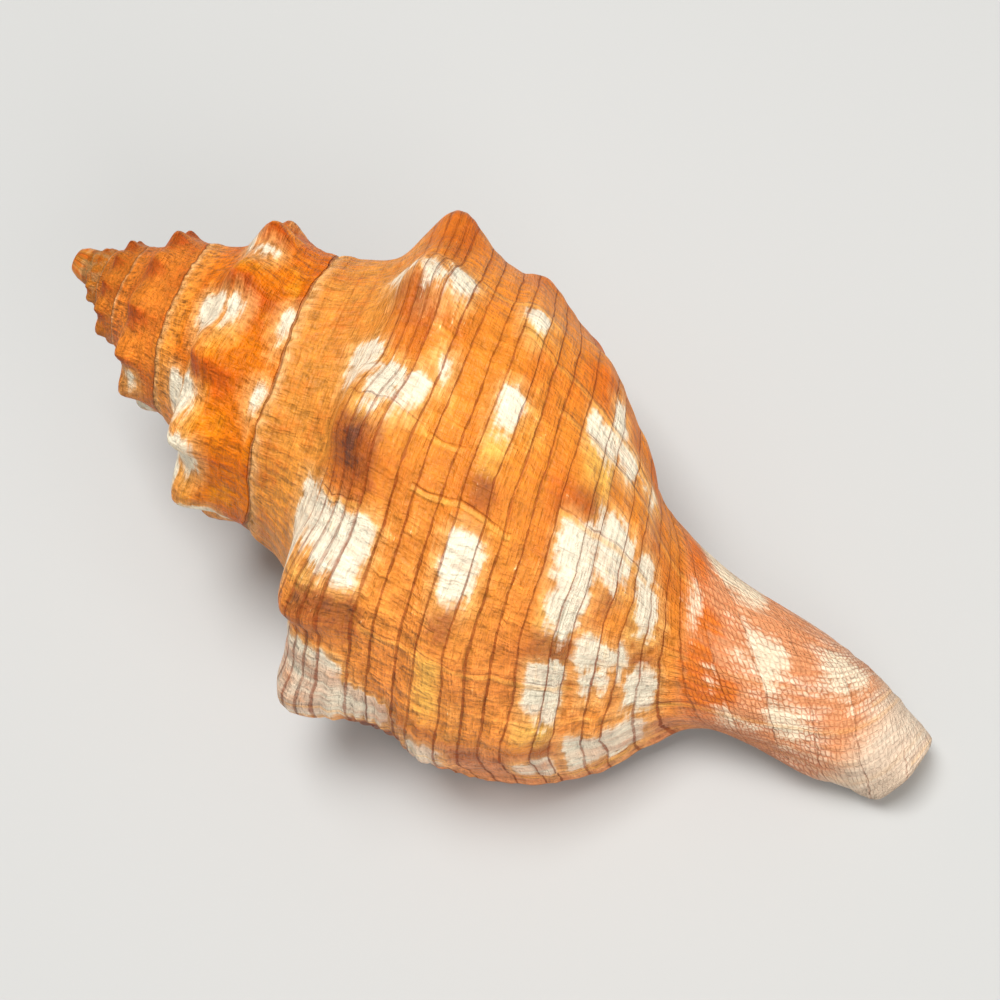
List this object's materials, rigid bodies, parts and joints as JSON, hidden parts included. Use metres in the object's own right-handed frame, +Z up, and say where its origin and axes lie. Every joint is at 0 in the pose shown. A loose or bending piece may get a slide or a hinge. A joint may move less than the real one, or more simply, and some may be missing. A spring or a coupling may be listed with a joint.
{
  "type": "aurantilaria aurantiaca shell",
  "caption": "Knobbed right-handed sea shell with a tall stepped spire, a hollow body whorl and a long open canal, lying on its aperture.",
  "frame": {"origin": "on the ground under the middle of the shell's bounding box, as it lies on its lip, canal and knobs", "axes": "+Z up, +X from the apex towards the end of the canal, outer lip on the -Y side"},
  "size_m": [0.107, 0.0552, 0.0443],
  "materials": {
    "shell": "worn satin lime shell, orange with white blotches and fine dark spiral lines"
  },
  "bodies": {
    "root": {"shell": "shell"}
  },
  "joints": []
}
